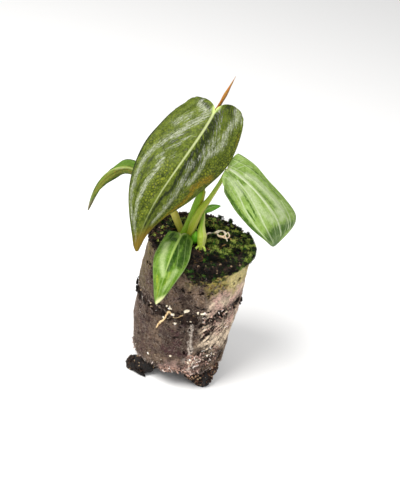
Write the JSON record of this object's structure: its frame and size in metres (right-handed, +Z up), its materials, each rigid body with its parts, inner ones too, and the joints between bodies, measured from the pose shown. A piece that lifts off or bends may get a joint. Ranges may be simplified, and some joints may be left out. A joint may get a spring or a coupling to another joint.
{
  "type": "young philodendron in a paper-sleeved plug",
  "caption": "Young velvet-leaved philodendron with drooping heart-shaped leaves, growing from a mossy plug of medium in a worn paper sleeve.",
  "frame": {"origin": "on the surface the plug stands on, below the middle of the plug's rim", "axes": "+Z up along the plug, -Y towards the front where the smallest leaf hangs over the rim, +X to the right"},
  "size_m": [0.1023, 0.0646, 0.1634],
  "materials": {
    "paper": "matte",
    "medium": "matte",
    "moss": "matte",
    "leaf_dark": "satin",
    "leaf_light": "satin",
    "stem": "satin",
    "spear": "satin",
    "root": "matte"
  },
  "bodies": {
    "root": {"paper_sleeve": "paper", "growing_medium": "medium", "moss_cushion_right": "moss", "moss_cushion_back": "moss", "moss_cushion_front": "moss", "moss_cushion_left": "moss", "moss_mat_front": "moss", "main_stem": "stem", "large_leaf_petiole": "stem", "right_leaf_petiole": "stem", "front_leaf_petiole": "stem", "left_leaf_petiole": "stem", "side_shoot": "stem", "new_leaf_spear": "spear", "large_leaf_blade": "leaf_dark", "left_leaf_blade": "leaf_dark", "right_leaf_blade": "leaf_light", "front_leaf_blade": "leaf_light", "back_leaf_blade": "leaf_light", "bud_leaf": "leaf_light", "surface_root": "root", "sleeve_root": "root"}
  },
  "joints": []
}
